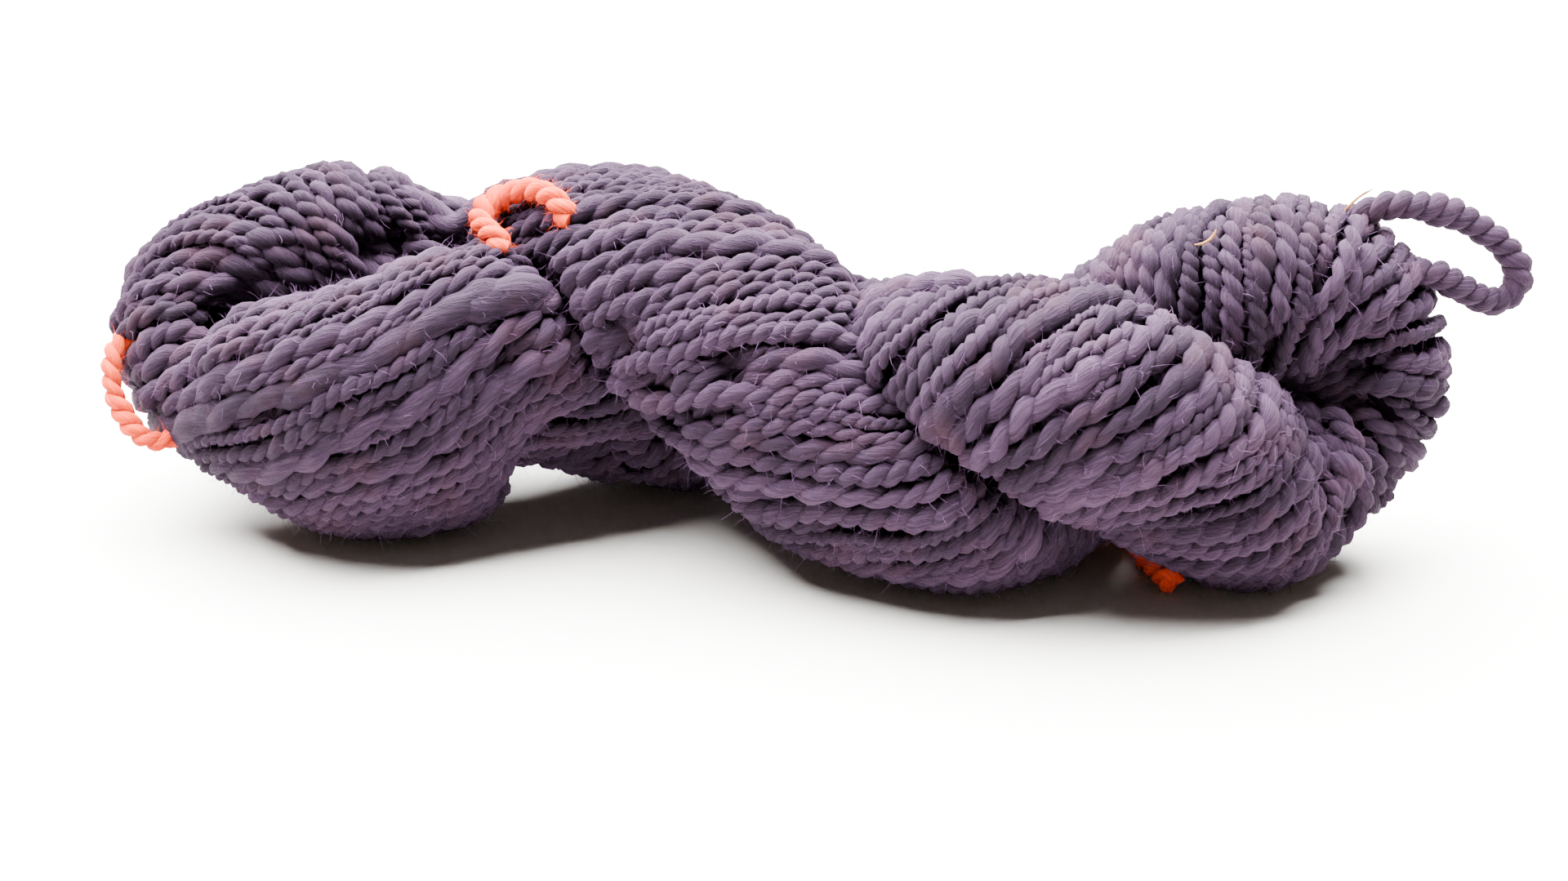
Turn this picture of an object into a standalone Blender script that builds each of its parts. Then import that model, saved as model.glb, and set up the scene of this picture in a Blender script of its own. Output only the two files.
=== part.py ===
"""A twisted hank of thick-and-thin two-ply wool with three wool ties and one loose loop.

The hank is one long skein, twisted and doubled back on itself, so two thick bundles of yarn wind
round each other like a two-strand rope. Metres, +Z up, +X along the hank, the flat spots at z = 0.
"""

from collections import namedtuple

import bmesh
import bpy
import numpy as np

MM = 0.001

# Driving sizes
YARN_DIAMETER = 5.0 * MM  # the loose loop of the hank's own yarn
TIE_DIAMETER = 3.8 * MM  # the thinner yarn of the ties
RING_SIDES = 26  # sides of a bundle's section
RING_SPACING = 6.0 * MM  # along a bundle
DOME_RINGS = 4  # rings that round off a bundle's end
EVENING_PASSES = 6  # of averaging, over the directions of the rings
BEND_ROOM = 0.8  # of the radius of a bend that a bundle's inner side may take up
SURFACE_BLOCK = (0.4, 0.3, 0.05)  # the block under the hank that presses its flat spots
TUBE_STEP = 0.8  # diameters between the points of a tube
TUBE_BEVEL_RESOLUTION = 2

# A section of a bundle: its centre, its half-width, and its half-thickness towards the other
# bundle, against which it is pressed. Millimetres.
Section = namedtuple("Section", "x y z half_width half_thickness")

# The bundle that is in front at the left, passes under and behind, and comes up at the right.
FRONT_LEFT_BUNDLE = [
    Section(-116, 3, 25, 13, 12),
    Section(-106, -1, 26, 20, 17),
    Section(-89, -6, 25.5, 27, 20),
    Section(-74, -5, 27.5, 28, 20),
    Section(-62, 0, 33, 25, 19),
    Section(-48, 10, 26, 22, 18),
    Section(-36, 17, 19.5, 21, 18),
    Section(-21, 20, 18, 20, 18),
    Section(-5, 14, 27, 20, 17),
    Section(12, -4, 34, 21, 16),
    Section(27, -21, 41, 22, 17),
    Section(44, -31, 40, 22, 17),
    Section(62, -31, 32, 21, 18),
    Section(82, -22.5, 18, 20, 19),
    Section(94, -14, 21, 18, 16),
    Section(103, -10, 25, 14, 13),
]

# The bundle that is behind and above at the left, and crosses in front in the middle.
BACK_LEFT_BUNDLE = [
    Section(-121, 20, 38, 14, 13),
    Section(-110, 27, 39, 20, 17),
    Section(-91, 31.5, 40, 23, 18),
    Section(-76, 31, 37, 20, 16),
    Section(-65, 30, 37, 18, 14),
    Section(-51, 26, 43, 21, 17),
    Section(-38, 16, 48, 22, 18),
    Section(-22, -2, 46, 23, 18),
    Section(-7, -15, 38, 23, 18),
    Section(10, -25, 23, 23, 17),
    Section(27, -24, 16, 22, 17),
    Section(46, -7, 20, 21, 16),
    Section(65, 0, 37, 21, 18),
    Section(82, -5, 48, 22, 19),
    Section(98, -4, 47, 19, 17),
    Section(105, -6, 41, 15, 14),
]

# The yarn between the two bundles, in millimetres
MIDDLE_HALF_WIDTH = 15
MIDDLE_HALF_THICKNESS = 12

# Where the two bundles turn into each other at an end of the hank.
Bight = namedtuple("Bight", "x y z half_x half_y half_z")
LEFT_BIGHT = Bight(-115, 12, 32, 9, 15, 18)
RIGHT_BIGHT = Bight(105, -8, 33, 13, 15, 22)


# The routes of the free stretches in millimetres, each from where it leaves the hank.

# The yarn's own loop, which stands out of the right end and goes back in.
LOOSE_LOOP = [
    (103.5, -5, 66.8),
    (106, -3.8, 66.3),
    (109.5, -3, 65.5),
    (114, -2.2, 65.2),
    (119, -1.4, 63.8),
    (123.2, -1, 61.4),
    (127, -1, 58.8),
    (130.2, -1.4, 56),
    (132.2, -2, 52.8),
    (132.3, -2.8, 49.6),
    (129.9, -3.6, 47.5),
    (126, -4.4, 47.3),
    (122.7, -5.4, 49.2),
    (120, -6.2, 51.3),
    (117.6, -6.8, 52.8),
    (115.2, -7.4, 54.2),
]

# From under the bundle that crosses in front, over the saddle, and in again below.
TOP_TIE = [
    (-43, -1, 63.6),
    (-46, 3, 64.4),
    (-49.5, 7.5, 64.8),
    (-53.5, 11.5, 64.4),
    (-58, 14, 63.2),
    (-62.5, 13.5, 61.2),
    (-65.3, 10.2, 59.6),
    (-65.2, 6, 58.6),
    (-62.6, 2.8, 58.7),
    (-59.2, 0.8, 59),
    (-55.8, 0, 58.6),
]

# Round the left end, from under the upper bundle to under the lower one.
LEFT_TIE = [
    (-132.5, 2, 36.2),
    (-132.9, 0.8, 33.6),
    (-133, -0.9, 31),
    (-132.4, -2.6, 28.4),
    (-131.2, -4.2, 25.9),
    (-129.4, -5.8, 23.5),
    (-127.2, -7.4, 21.6),
    (-124.7, -9, 20.4),
    (-122, -10.6, 19.8),
    (-119.4, -12.1, 19.5),
    (-117, -13.5, 19.2),
]

# From under the right half to its cut end on the surface.
TIE_END = [
    (56, 2, 4.2),
    (57.5, -1.5, 3.2),
    (59, -5.8, 2.4),
    (60.3, -10, 2.2),
    (61.3, -14, 2.2),
    (62.4, -18.2, 2.2),
    (63.3, -22.8, 2.2),
    (64.6, -27.6, 2.2),
    (66.6, -33, 2.2),
]


def smooth_rows(rows, spacing):
    """Rows of numbers read at even spacing from the smooth curve through the given rows."""
    rows = np.array(rows, float)
    spans = np.sqrt(np.linalg.norm(np.diff(rows[:, :3], axis=0), axis=1))[:, None]
    slopes = np.diff(rows, axis=0) / spans
    inner = (slopes[:-1] * spans[1:] + slopes[1:] * spans[:-1]) / (spans[1:] + spans[:-1])
    tangents = np.vstack([slopes[:1], inner, slopes[-1:]])
    s = np.linspace(0.0, 1.0, 40, endpoint=False)[:, None]
    fine = [
        (2 * s**3 - 3 * s**2 + 1) * rows[i]
        + (s**3 - 2 * s**2 + s) * spans[i] * tangents[i]
        + (3 * s**2 - 2 * s**3) * rows[i + 1]
        + (s**3 - s**2) * spans[i] * tangents[i + 1]
        for i in range(len(rows) - 1)
    ]
    fine = np.vstack(fine + [rows[-1:]])
    along = np.append(0.0, np.cumsum(np.linalg.norm(np.diff(fine[:, :3], axis=0), axis=1)))
    wanted = np.linspace(0.0, along[-1], round(along[-1] / spacing) + 1)
    return np.column_stack([np.interp(wanted, along, column) for column in fine.T])


def unit(vectors):
    return vectors / np.linalg.norm(vectors, axis=-1, keepdims=True)


def evened(directions):
    """Unit directions along a bundle, averaged with their neighbours so that the rings turn gently."""
    for _ in range(EVENING_PASSES):
        padded = np.vstack([directions[:1], directions, directions[-1:]])
        directions = unit(padded[:-2] + 2 * padded[1:-1] + padded[2:])
    return directions


def keep_inside_bend(offsets, bend):
    """Offsets drawn in on the inner side of a bend, so that neighbouring rings never cross."""
    sharpness = np.linalg.norm(bend)
    towards_centre = bend / sharpness
    room = BEND_ROOM / sharpness
    depth = offsets @ towards_centre
    kept = np.where(depth > 0.0, depth / (1.0 + (np.abs(depth) / room) ** 4) ** 0.25, depth)
    return offsets + np.outer(kept - depth, towards_centre)


def mesh_object(name, bm, material=None):
    bmesh.ops.recalc_face_normals(bm, faces=bm.faces)
    mesh = bpy.data.meshes.new(name)
    bm.to_mesh(mesh)
    bm.free()
    mesh.shade_smooth()
    if material:
        mesh.materials.append(material)
    obj = bpy.data.objects.new(name, mesh)
    bpy.context.scene.collection.objects.link(obj)
    return obj


def skin_rings(bm, rings, poles):
    """Faces between neighbouring rings of points, and fans to a pole at each end."""
    for ring, after in zip(rings, rings[1:]):
        for k in range(-1, RING_SIDES - 1):
            bm.faces.new((ring[k], ring[k + 1], after[k + 1], after[k]))
    for ring, pole in zip((rings[0], rings[-1]), poles):
        for k in range(-1, RING_SIDES - 1):
            bm.faces.new((ring[k], ring[k + 1], pole))


def bundle_mesh(sections, other_sections):
    """A bundle: rings round its middle line, flattened towards the other bundle, with domed ends."""
    path = smooth_rows(np.array(sections) * MM, RING_SPACING)
    other = smooth_rows(np.array(other_sections) * MM, RING_SPACING)
    centres, half_widths, half_thicknesses = path[:, :3], path[:, 3], path[:, 4]
    forward = evened(np.gradient(centres, axis=0))
    steps = np.linalg.norm(np.gradient(centres, axis=0), axis=1)
    bends = np.gradient(forward, axis=0) / steps[:, None]
    beside = np.column_stack([np.interp(centres[:, 0], other[:, 0], column) for column in other[:, :3].T])
    inward = evened(beside - centres)
    inward = unit(inward - (inward * forward).sum(1, keepdims=True) * forward)
    across = np.cross(forward, inward)

    angles = 0.5 * np.pi * np.arange(1, DOME_RINGS) / DOME_RINGS
    last = len(path) - 1
    start_dome = [(0, -np.sin(angle), np.cos(angle)) for angle in angles[::-1]]
    end_dome = [(last, np.sin(angle), np.cos(angle)) for angle in angles]
    stations = start_dome + [(i, 0.0, 1.0) for i in range(len(path))] + end_dome

    bm = bmesh.new()
    turns = np.linspace(0.0, 2 * np.pi, RING_SIDES, endpoint=False)
    rings = []
    for i, ahead, scale in stations:
        offsets = scale * (
            np.outer(np.cos(turns), across[i] * half_widths[i])
            + np.outer(np.sin(turns), inward[i] * half_thicknesses[i])
        )
        centre = centres[i] + ahead * half_thicknesses[i] * forward[i]
        rings.append([bm.verts.new(centre + offset) for offset in keep_inside_bend(offsets, bends[i])])
    poles = [
        bm.verts.new(centres[i] + order * half_thicknesses[i] * forward[i])
        for i, order in ((0, -1), (last, 1))
    ]
    skin_rings(bm, rings, poles)
    return bm


def bight_mesh(bight):
    bm = bmesh.new()
    bmesh.ops.create_uvsphere(bm, u_segments=RING_SIDES, v_segments=12, radius=MM)
    bmesh.ops.scale(bm, vec=(bight.half_x, bight.half_y, bight.half_z), verts=bm.verts)
    bmesh.ops.translate(bm, vec=np.array(bight[:3]) * MM, verts=bm.verts)
    return bm


def middle_sections():
    """Sections half way between the bundles, short of their ends, for the yarn pressed there."""
    middles = 0.5 * (np.array(FRONT_LEFT_BUNDLE) + np.array(BACK_LEFT_BUNDLE))
    return [Section(*middle[:3], MIDDLE_HALF_WIDTH, MIDDLE_HALF_THICKNESS) for middle in middles[1:-1]]


def surface_block():
    """A block whose top is the surface that the hank lies on."""
    bm = bmesh.new()
    bmesh.ops.create_cube(bm, size=1.0)
    bmesh.ops.scale(bm, vec=SURFACE_BLOCK, verts=bm.verts)
    bmesh.ops.translate(bm, vec=(0.0, 0.0, -0.5 * SURFACE_BLOCK[2]), verts=bm.verts)
    return mesh_object("surface_block", bm)


def as_helper(obj):
    obj.hide_render = True
    obj.display_type = "WIRE"
    return obj


def join(target, helpers):
    """Makes the target one solid with the helper shapes that overlap it."""
    shapes = bpy.data.collections.new(target.name + "_shapes")
    bpy.context.scene.collection.children.link(shapes)
    for helper in helpers:
        shapes.objects.link(as_helper(helper))
        bpy.context.scene.collection.objects.unlink(helper)
    modifier = target.modifiers.new("Join the bundles", "BOOLEAN")
    modifier.operation = "UNION"
    modifier.operand_type = "COLLECTION"
    modifier.collection = shapes
    modifier.solver = "EXACT"


def cut(target, cutter):
    modifier = target.modifiers.new("Press the flat spots", "BOOLEAN")
    modifier.operation = "DIFFERENCE"
    modifier.solver = "EXACT"
    modifier.object = as_helper(cutter)


def hank(material):
    body = mesh_object("hank", bundle_mesh(FRONT_LEFT_BUNDLE, BACK_LEFT_BUNDLE), material)
    helpers = [
        mesh_object("middle", bundle_mesh(middle_sections(), BACK_LEFT_BUNDLE)),
        mesh_object("back_left_bundle", bundle_mesh(BACK_LEFT_BUNDLE, FRONT_LEFT_BUNDLE)),
        mesh_object("left_bight", bight_mesh(LEFT_BIGHT)),
        mesh_object("right_bight", bight_mesh(RIGHT_BIGHT)),
    ]
    join(body, helpers)
    cut(body, surface_block())


def yarn_tube(name, route, diameter, material):
    """A plain tube along the smooth curve through a route's points."""
    points = smooth_rows(np.array(route) * MM, TUBE_STEP * diameter)
    curve = bpy.data.curves.new(name, "CURVE")
    curve.dimensions = "3D"
    curve.bevel_depth = 0.5 * diameter
    curve.bevel_resolution = TUBE_BEVEL_RESOLUTION
    curve.use_fill_caps = True
    spline = curve.splines.new("POLY")
    spline.points.add(len(points) - 1)
    for place, point in zip(spline.points, points):
        place.co = (*point, 1.0)
    spline.use_smooth = True
    curve.materials.append(material)
    bpy.context.scene.collection.objects.link(bpy.data.objects.new(name, curve))


def wool(name, color):
    material = bpy.data.materials.new(name)
    material.use_nodes = True
    shader = material.node_tree.nodes["Principled BSDF"]
    shader.inputs["Base Color"].default_value = (*color, 1.0)
    shader.inputs["Roughness"].default_value = 0.95
    shader.inputs["Metallic"].default_value = 0.0
    return material


def main():
    for obj in list(bpy.data.objects):
        bpy.data.objects.remove(obj, do_unlink=True)
    purple = wool("purple_wool", (0.13, 0.09, 0.15))
    orange = wool("orange_wool", (0.80, 0.20, 0.09))
    hank(purple)
    yarn_tube("yarn_loop", LOOSE_LOOP, YARN_DIAMETER, purple)
    yarn_tube("tie_top", TOP_TIE, TIE_DIAMETER, orange)
    yarn_tube("tie_left", LEFT_TIE, TIE_DIAMETER, orange)
    yarn_tube("tie_end", TIE_END, TIE_DIAMETER, orange)


main()
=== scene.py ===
# %% [markdown]
# # A twisted hank of handspun wool
#
# A spinner winds yarn into a long skein, ties it in a few places, twists it until it is springy and
# folds it in half. The two halves wind round each other like a two-strand rope, and each strand of
# yarn runs slantwise over its half. The CAD model holds that form as one solid. This lesson dresses
# it with what the eye sees: hundreds of turns of two-ply yarn, their fuzz, three orange ties, a
# loose loop and two bits of straw.

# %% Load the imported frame
from collections import defaultdict, namedtuple
from math import cos, floor, pi, radians, sin

import bmesh
import bpy
import numpy as np
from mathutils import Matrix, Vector


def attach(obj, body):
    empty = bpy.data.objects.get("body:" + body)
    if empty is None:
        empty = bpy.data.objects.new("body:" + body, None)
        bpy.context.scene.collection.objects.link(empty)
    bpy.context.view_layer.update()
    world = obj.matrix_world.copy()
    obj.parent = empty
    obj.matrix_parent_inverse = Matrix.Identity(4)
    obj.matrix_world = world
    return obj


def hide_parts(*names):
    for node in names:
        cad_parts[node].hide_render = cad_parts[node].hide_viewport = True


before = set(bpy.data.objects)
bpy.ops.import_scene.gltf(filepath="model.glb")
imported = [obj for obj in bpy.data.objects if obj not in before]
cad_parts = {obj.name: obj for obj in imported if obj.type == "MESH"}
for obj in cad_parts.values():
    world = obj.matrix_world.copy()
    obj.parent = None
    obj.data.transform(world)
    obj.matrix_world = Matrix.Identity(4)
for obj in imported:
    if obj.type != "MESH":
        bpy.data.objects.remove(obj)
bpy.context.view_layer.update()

MM = 0.001


def placed(name, data):
    """A new object in the scene."""
    obj = bpy.data.objects.new(name, data)
    bpy.context.scene.collection.objects.link(obj)
    return obj


def dressed(name, bm, material):
    """The bmesh as a smooth object in the scene, in one material."""
    mesh = bpy.data.meshes.new(name)
    bm.to_mesh(mesh)
    bm.free()
    mesh.shade_smooth()
    mesh.materials.append(material)
    return placed(name, mesh)


# %% [markdown]
# ## The camera
#
# A camera is placed from four choices: the point it looks at, how far away it stands, how high it
# is held, and its lens. A long lens keeps both ends of the hank at about the same size.

# %% Place the camera
LENS = 70.0
CAMERA_HEIGHT_ANGLE = radians(24.5)
CAMERA_DISTANCE = 583 * MM
LOOK_AT = Vector((-5 * MM, -2 * MM, 17.8 * MM))

camera_data = bpy.data.cameras.new("camera")
camera_data.lens = LENS
camera_data.sensor_width = 36.0
camera = placed("camera", camera_data)
from_hank = Vector((0, -cos(CAMERA_HEIGHT_ANGLE), sin(CAMERA_HEIGHT_ANGLE)))
camera.location = LOOK_AT + CAMERA_DISTANCE * from_hank
camera.rotation_euler = (pi / 2 - CAMERA_HEIGHT_ANGLE, 0, 0)
bpy.context.scene.camera = camera
print("camera at", [round(x, 4) for x in camera.location])

# %% [markdown]
# ## Sums on sockets
#
# A node tree is easier to read as a sum than as a list of links. `Socket` wraps an output socket,
# and each operator adds its Math node. `Graph.node` makes every other kind of node: settings first,
# then the values or links of its sockets.

# %% The two helper classes
class Socket:
    """An output socket on which sums can be written."""

    def __init__(self, graph, socket):
        self.graph, self.socket = graph, socket

    def __add__(self, other):
        return self.graph.math("ADD", self, other)

    def __sub__(self, other):
        return self.graph.math("SUBTRACT", self, other)

    def __rsub__(self, other):
        return self.graph.math("SUBTRACT", other, self)

    def __mul__(self, other):
        return self.graph.math("MULTIPLY", self, other)

    def __truediv__(self, other):
        return self.graph.math("DIVIDE", self, other)

    __radd__ = __add__
    __rmul__ = __mul__


class Graph:
    """A node tree that is written from left to right."""

    def __init__(self, tree):
        self.tree = tree

    def node(self, kind, settings=(), values=(), out=0):
        """Adds a node, fills or links its inputs, and gives one of its outputs."""
        node = self.tree.nodes.new(kind)
        for name, value in dict(settings).items():
            if name == "stops":
                for stop, (place, color) in zip(self.stops(node, len(value)), value):
                    stop.position, stop.color = place, (*color, 1.0)
            else:
                setattr(node, name, value)
        for key, value in dict(values).items():
            if isinstance(value, Socket):
                self.tree.links.new(value.socket, node.inputs[key])
            else:
                node.inputs[key].default_value = value
        return Socket(self, node.outputs[out]) if node.outputs else node

    @staticmethod
    def stops(node, count):
        while len(node.color_ramp.elements) < count:
            node.color_ramp.elements.new(1.0)
        return node.color_ramp.elements

    def math(self, operation, *values):
        return self.node("ShaderNodeMath", {"operation": operation}, enumerate(values))

    def vector(self, operation, *values, **more):
        inputs = {**dict(enumerate(values)), **more}
        return self.node("ShaderNodeVectorMath", {"operation": operation}, inputs)

    def scaled(self, vector, factor):
        return self.vector("SCALE", vector, Scale=factor)

    def read(self, name, data_type="FLOAT"):
        return self.node("GeometryNodeInputNamedAttribute", {"data_type": data_type}, {"Name": name})


# %% [markdown]
# ## Two-ply yarn
#
# Handspun two-ply is two thin strands of wool twisted round each other. A texture could hint at
# that, but the light would not catch each bump, so it is real geometry. A Geometry Nodes tree takes
# the middle lines of strands as bare edges. For each ply it moves the line out along a turning
# direction, lays a small ring along it, and lets the ply swell and thin, as hand spinning does.

# %% The tree that plies yarn
def new_tree(name, inputs):
    """A Geometry Nodes tree, and the sockets that hand it its inputs."""
    tree = bpy.data.node_groups.new(name, "GeometryNodeTree")
    tree.interface.new_socket("Geometry", in_out="INPUT", socket_type="NodeSocketGeometry")
    for label, kind in inputs:
        tree.interface.new_socket(label, in_out="INPUT", socket_type="NodeSocket" + kind)
    tree.interface.new_socket("Geometry", in_out="OUTPUT", socket_type="NodeSocketGeometry")
    graph = Graph(tree)
    entry = tree.nodes.new("NodeGroupInput")
    sockets = {socket.name: Socket(graph, socket) for socket in entry.outputs if socket.name}
    return graph, sockets


def end_tree(graph, geometry, material):
    """Closes a tree: its geometry comes out smooth and in its material."""
    whole = graph.node("GeometryNodeRealizeInstances", values={"Geometry": geometry})
    smooth = graph.node("GeometryNodeSetShadeSmooth", values={"Geometry": whole})
    done = graph.node("GeometryNodeSetMaterial", values={"Geometry": smooth, "Material": material})
    graph.node("NodeGroupOutput", values={"Geometry": done})
    return graph.tree


def plied_yarn_tree():
    """Turns the middle lines of strands into pairs of twisted plies."""
    graph, given = new_tree("Plied yarn", [
        ("Turn length", "Float"), ("Ply spread", "Float"), ("Ply size", "Float"),
        ("Unevenness", "Float"), ("Sides", "Int"), ("Material", "Material"),
    ])
    along, half, tone = graph.read("along"), graph.read("half"), graph.read("tone")
    wound, plump = graph.read("wound"), graph.read("plump")
    outward, beside = graph.read("outward", "FLOAT_VECTOR"), graph.read("beside", "FLOAT_VECTOR")
    lines = graph.node("GeometryNodeMeshToCurve", values={"Mesh": given["Geometry"]})
    ring = graph.node(
        "GeometryNodeCurvePrimitiveCircle", values={"Resolution": given["Sides"], "Radius": 1.0})
    plies = graph.node("GeometryNodeJoinGeometry")
    for ply in range(2):
        turn = wound / given["Turn length"] * (2 * pi) + tone * 40.0 + ply * pi
        place = graph.node(
            "ShaderNodeCombineXYZ", values={"X": along * 130.0, "Y": tone * 57.0, "Z": ply * 9.0})
        swell = graph.node("ShaderNodeTexNoise", values={"Vector": place, "Scale": 1.0, "Detail": 3.0})
        size = half * (1.0 + (swell - 0.5) * given["Unevenness"])
        arm = size * given["Ply spread"] * (1.0 - plump * 0.55)
        aside = graph.vector(
            "ADD",
            graph.scaled(outward, graph.math("COSINE", turn) * arm),
            graph.scaled(beside, graph.math("SINE", turn) * arm),
        )
        line = graph.node("GeometryNodeSetPosition", values={"Geometry": lines, "Offset": aside})
        around = graph.node("GeometryNodeSplineParameter") * (2 * pi)
        marked = graph.node(
            "GeometryNodeStoreNamedAttribute", {"data_type": "FLOAT"},
            {"Geometry": ring, "Name": "around", "Value": around},
        )
        skin = graph.node(
            "GeometryNodeCurveToMesh",
            values={"Curve": line, "Profile Curve": marked, "Fill Caps": True,
                    "Scale": size * given["Ply size"] * (1.0 + plump * 0.35)},
        )
        fibre_turn = graph.read("around") - turn * 0.6
        fibre = graph.node("ShaderNodeCombineXYZ", values={
            "X": along * 90.0 + tone * 31.0,
            "Y": graph.math("COSINE", fibre_turn) * 2.2 + ply * 5.0,
            "Z": graph.math("SINE", fibre_turn) * 2.2,
        })
        combed = graph.node(
            "GeometryNodeStoreNamedAttribute", {"data_type": "FLOAT_VECTOR"},
            {"Geometry": skin, "Name": "fibre", "Value": fibre},
        )
        graph.tree.links.new(combed.socket, plies.socket.node.inputs[0])
    return end_tree(graph, plies, given["Material"])


def grow(tree, mesh, name, values):
    """Runs a Geometry Nodes tree on a mesh and keeps the result as a plain mesh object."""
    obj = placed(name, mesh)
    modifier = obj.modifiers.new(tree.name, "NODES")
    modifier.node_group = tree
    for item in tree.interface.items_tree:
        if item.in_out == "INPUT" and item.name in values:
            modifier[item.identifier] = values[item.name]
    depsgraph = bpy.context.evaluated_depsgraph_get()
    result = bpy.data.meshes.new_from_object(obj.evaluated_get(depsgraph), depsgraph=depsgraph)
    obj.modifiers.clear()
    obj.data = result
    result.name = name
    bpy.data.meshes.remove(mesh)
    print(f"{name}: {sum(len(face.vertices) - 2 for face in result.polygons)} triangles")
    return obj


plied_yarn = plied_yarn_tree()

# %% [markdown]
# ## Fuzz
#
# Woollen yarn is hairy. The hairs catch light at the outline and soften every edge. Hair particles
# would not survive an export, so a second tree scatters points on a yarn's faces and stands a short
# bent hair on each: a line of three points, curled by noise, with a three-sided ring along it.

# %% The tree that grows fuzz
HAIR_POINTS = 3
HAIR_LEAN = 1.15  # radians away from straight out
HAIR_REACH = (0.35, 1.3)  # shares of the hair length
HAIR_CLEARANCE = 0.4 * MM  # above the table


def fuzz_tree():
    """Stands short bent hairs all over a mesh."""
    graph, given = new_tree("Fuzz", [
        ("Hairs per square metre", "Float"), ("Hair length", "Float"), ("Hair thickness", "Float"),
        ("Curl", "Float"), ("Seed", "Int"), ("Material", "Material"),
    ])
    scatter = graph.node(
        "GeometryNodeDistributePointsOnFaces", {"distribute_method": "RANDOM"},
        {"Mesh": given["Geometry"], "Density": given["Hairs per square metre"],
         "Seed": given["Seed"]},
    )
    normal_turn = Socket(graph, scatter.socket.node.outputs["Rotation"])
    lean = graph.node(
        "FunctionNodeRandomValue", {"data_type": "FLOAT_VECTOR"},
        {0: (-HAIR_LEAN, -HAIR_LEAN, -3.1), 1: (HAIR_LEAN, HAIR_LEAN, 3.1), "Seed": 3}, out=0,
    )
    lean_turn = graph.node("FunctionNodeEulerToRotation", values={"Euler": lean})
    leaning = graph.node(
        "FunctionNodeRotateRotation", {"rotation_space": "LOCAL"},
        {"Rotation": normal_turn, "Rotate By": lean_turn},
    )
    reach = graph.node(
        "FunctionNodeRandomValue", {"data_type": "FLOAT"},
        {2: HAIR_REACH[0], 3: HAIR_REACH[1], "Seed": 5}, out=1,
    )
    straight = graph.node(
        "GeometryNodeCurvePrimitiveLine", {"mode": "DIRECTION"},
        {"Direction": (0, 0, 1), "Length": given["Hair length"]},
    )
    stem = graph.node(
        "GeometryNodeResampleCurve", {"mode": "COUNT"}, {"Curve": straight, "Count": HAIR_POINTS})
    marked = graph.node(
        "GeometryNodeStoreNamedAttribute", {"data_type": "FLOAT"},
        {"Geometry": stem, "Name": "up_hair", "Value": graph.node("GeometryNodeSplineParameter")},
    )
    hairs = graph.node(
        "GeometryNodeInstanceOnPoints",
        values={"Points": scatter, "Instance": marked, "Rotation": leaning, "Scale": reach},
    )
    real = graph.node("GeometryNodeRealizeInstances", values={"Geometry": hairs})
    place = graph.node("GeometryNodeInputPosition")
    sway = graph.node(
        "ShaderNodeTexNoise", values={"Vector": place, "Scale": 420.0, "Detail": 1.0}, out=1)
    centred = graph.vector("SUBTRACT", sway, (0.5, 0.5, 0.5))
    push = graph.scaled(centred, graph.read("up_hair") * given["Curl"])
    bent = graph.node("GeometryNodeSetPosition", values={"Geometry": real, "Offset": push})
    lift = graph.vector("MAXIMUM", place, (-9.0, -9.0, HAIR_CLEARANCE))
    above = graph.node("GeometryNodeSetPosition", values={"Geometry": bent, "Position": lift})
    taper = (1.15 - graph.read("up_hair")) * given["Hair thickness"] * 0.5
    ring = graph.node("GeometryNodeCurvePrimitiveCircle", values={"Resolution": 3, "Radius": 1.0})
    skin = graph.node("GeometryNodeCurveToMesh", values={
        "Curve": above, "Profile Curve": ring, "Scale": taper, "Fill Caps": True,
    })
    return end_tree(graph, skin, given["Material"])


fuzz = fuzz_tree()

# %% [markdown]
# ## Wool
#
# The wool is heathered: fibres of plum, mauve and a little rose lie side by side, and no two turns
# are quite the same. The colour follows the fibre attribute that the yarn tree stored, so it runs
# with the twist. A fine noise stretched along the fibre gives the bump, and sheen stands for the
# halo of hairs too fine to model. The modelled hairs get a lighter copy of the wool, painted light,
# and the dark inside a near-black copy, painted shade.

# %% The wool materials
RELIEF = 1.1 * MM


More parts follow.
